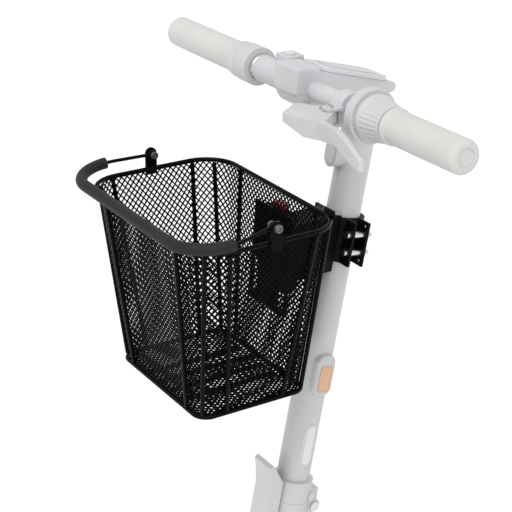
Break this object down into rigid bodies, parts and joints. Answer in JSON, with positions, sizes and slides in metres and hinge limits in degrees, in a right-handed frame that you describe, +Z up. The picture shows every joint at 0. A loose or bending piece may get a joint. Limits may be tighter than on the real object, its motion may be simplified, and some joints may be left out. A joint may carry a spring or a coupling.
{
  "type": "kick scooter with basket",
  "caption": "Folding electric kick scooter with a black lift-off wire basket clamped to the front of its stem.",
  "frame": {"origin": "on the ground, under the middle of the whole scooter's box", "axes": "+X to the rider's left, +Y to the rear wheel, +Z up"},
  "size_m": [0.56, 1.0769, 0.9294],
  "materials": {
    "frame_paint": "satin",
    "light_paint": "satin",
    "head_plastic": "fine texture",
    "dash_plastic": "smooth",
    "screen": "gloss",
    "mat_rubber": "ribbed",
    "battery_case": "shrink wrap",
    "controller_case": "cast",
    "bright_steel": "bright zinc",
    "tail_lens": "ribbed lens",
    "port_rubber": "matte",
    "tyre": "matte",
    "grip_rubber": "fine ribs",
    "bell_plastic": "ribbed",
    "lever_paint": "satin",
    "cable_sheath": "smooth",
    "clear_lens": "clear",
    "amber_lens": "prismatic",
    "label": "smooth",
    "bracket_plastic": "fine texture",
    "liner_rubber": "matte",
    "button_plastic": "smooth",
    "red_plastic": "smooth",
    "black_wire": "semi-gloss powder coat",
    "black_mesh": "semi-gloss powder coat",
    "foam": "closed-cell foam"
  },
  "bodies": {
    "deck": {"deck_frame": "frame_paint", "deck_cover": "light_paint", "deck_mat": "mat_rubber", "battery_pack": "battery_case", "controller": "controller_case", "headset_bearings": "bright_steel", "rear_fender": "frame_paint", "tail_light": "tail_lens", "rear_dropouts": "frame_paint", "rear_axle": "bright_steel", "deck_screws": "bright_steel", "charge_port": "port_rubber", "kickstand_bracket": "frame_paint"},
    "kickstand": {"kickstand_leg": "bright_steel"},
    "rear_wheel": {"rear_tyre": "tyre", "motor_hub": "light_paint"},
    "steer": {"fork": "frame_paint", "front_fender": "frame_paint", "front_axle": "bright_steel", "fold_base": "light_paint", "fold_pin": "bright_steel"},
    "front_wheel": {"front_tyre": "tyre", "front_rim": "light_paint", "front_bearings": "bright_steel"},
    "stem": {"stem_foot": "light_paint", "stem_tube": "frame_paint", "head_housing": "head_plastic", "dash_cover": "dash_plastic", "dash_screen": "screen", "handlebar_tube": "light_paint", "left_grip": "grip_rubber", "right_grip": "grip_rubber", "headlight_housing": "head_plastic", "headlight_lens": "clear_lens", "side_reflectors": "amber_lens", "label_plates": "label", "throttle_housing": "head_plastic", "switch_box": "head_plastic", "brake_perch": "head_plastic", "brake_cable": "cable_sheath", "bell_body": "head_plastic", "clamp_front": "bracket_plastic", "clamp_rear": "bracket_plastic", "clamp_liner": "liner_rubber", "clamp_fasteners": "bright_steel", "adapter_block": "bracket_plastic"},
    "fold_lever": {"fold_lever": "light_paint"},
    "brake_lever": {"brake_lever": "lever_paint"},
    "bell_ring": {"bell_ring": "bell_plastic"},
    "throttle": {"throttle_paddle": "head_plastic"},
    "power_button": {"power_button": "button_plastic"},
    "basket": {"basket_hoops": "black_wire", "basket_ribs": "black_wire", "basket_wall": "black_mesh", "basket_floor": "black_mesh", "back_plate": "bracket_plastic", "pivot_bolts": "bright_steel"},
    "release_button": {"release_button": "red_plastic"},
    "basket_handle": {"handle_wire": "black_wire", "handle_grip": "foam"}
  },
  "joints": [
    {"name": "kickstand_fold", "type": "hinge", "parent": "deck", "child": "kickstand", "pos_m": [0.092, -0.10731, 0.108], "axis": [1, 0, 0], "range_deg": [0, 85]},
    {"name": "rear_wheel_spin", "type": "hinge", "parent": "deck", "child": "rear_wheel", "pos_m": [0, 0.42258, 0.108], "axis": [1, 0, 0], "continuous": true},
    {"name": "steering", "type": "hinge", "parent": "deck", "child": "steer", "pos_m": [0, -0.34459, 0.29414], "axis": [0, 0.1966, 0.9805], "range_deg": [-50, 50]},
    {"name": "front_wheel_spin", "type": "hinge", "parent": "steer", "child": "front_wheel", "pos_m": [0, -0.40742, 0.108], "axis": [1, 0, 0], "continuous": true},
    {"name": "stem_fold", "type": "hinge", "parent": "steer", "child": "stem", "pos_m": [0, -0.30028, 0.3727], "axis": [-1, 0, 0], "range_deg": [0, 92]},
    {"name": "fold_lever_swing", "type": "hinge", "parent": "steer", "child": "fold_lever", "pos_m": [0, -0.36097, 0.37008], "axis": [1, 0, 0], "range_deg": [0, 70]},
    {"name": "brake_pull", "type": "hinge", "parent": "stem", "child": "brake_lever", "pos_m": [0.091, -0.33829, 0.895], "axis": [0, 0, 1], "range_deg": [0, 14], "stiffness_Nm_per_rad": 2},
    {"name": "bell_turn", "type": "hinge", "parent": "stem", "child": "bell_ring", "pos_m": [0.146, -0.31029, 0.9], "axis": [1, 0, 0], "range_deg": [0, 30], "stiffness_Nm_per_rad": 0.4},
    {"name": "throttle_press", "type": "hinge", "parent": "stem", "child": "throttle", "pos_m": [-0.122, -0.31029, 0.9], "axis": [-1, 0, 0], "range_deg": [0, 30], "stiffness_Nm_per_rad": 0.4},
    {"name": "power_press", "type": "slide", "parent": "stem", "child": "power_button", "axis": [0, 0, -1], "range_m": [0, 0.0015], "stiffness_N_per_m": 400},
    {"name": "basket_lift", "type": "slide", "parent": "stem", "child": "basket", "axis": [0, 0, 1], "range_m": [0, 0.045]},
    {"name": "release_press", "type": "slide", "parent": "basket", "child": "release_button", "axis": [0, 0, -1], "range_m": [0, 0.003], "stiffness_N_per_m": 400},
    {"name": "handle_swing", "type": "hinge", "parent": "basket", "child": "basket_handle", "pos_m": [0, -0.43008, 0.8055], "axis": [-1, 0, 0], "range_deg": [0, 100]}
  ]
}
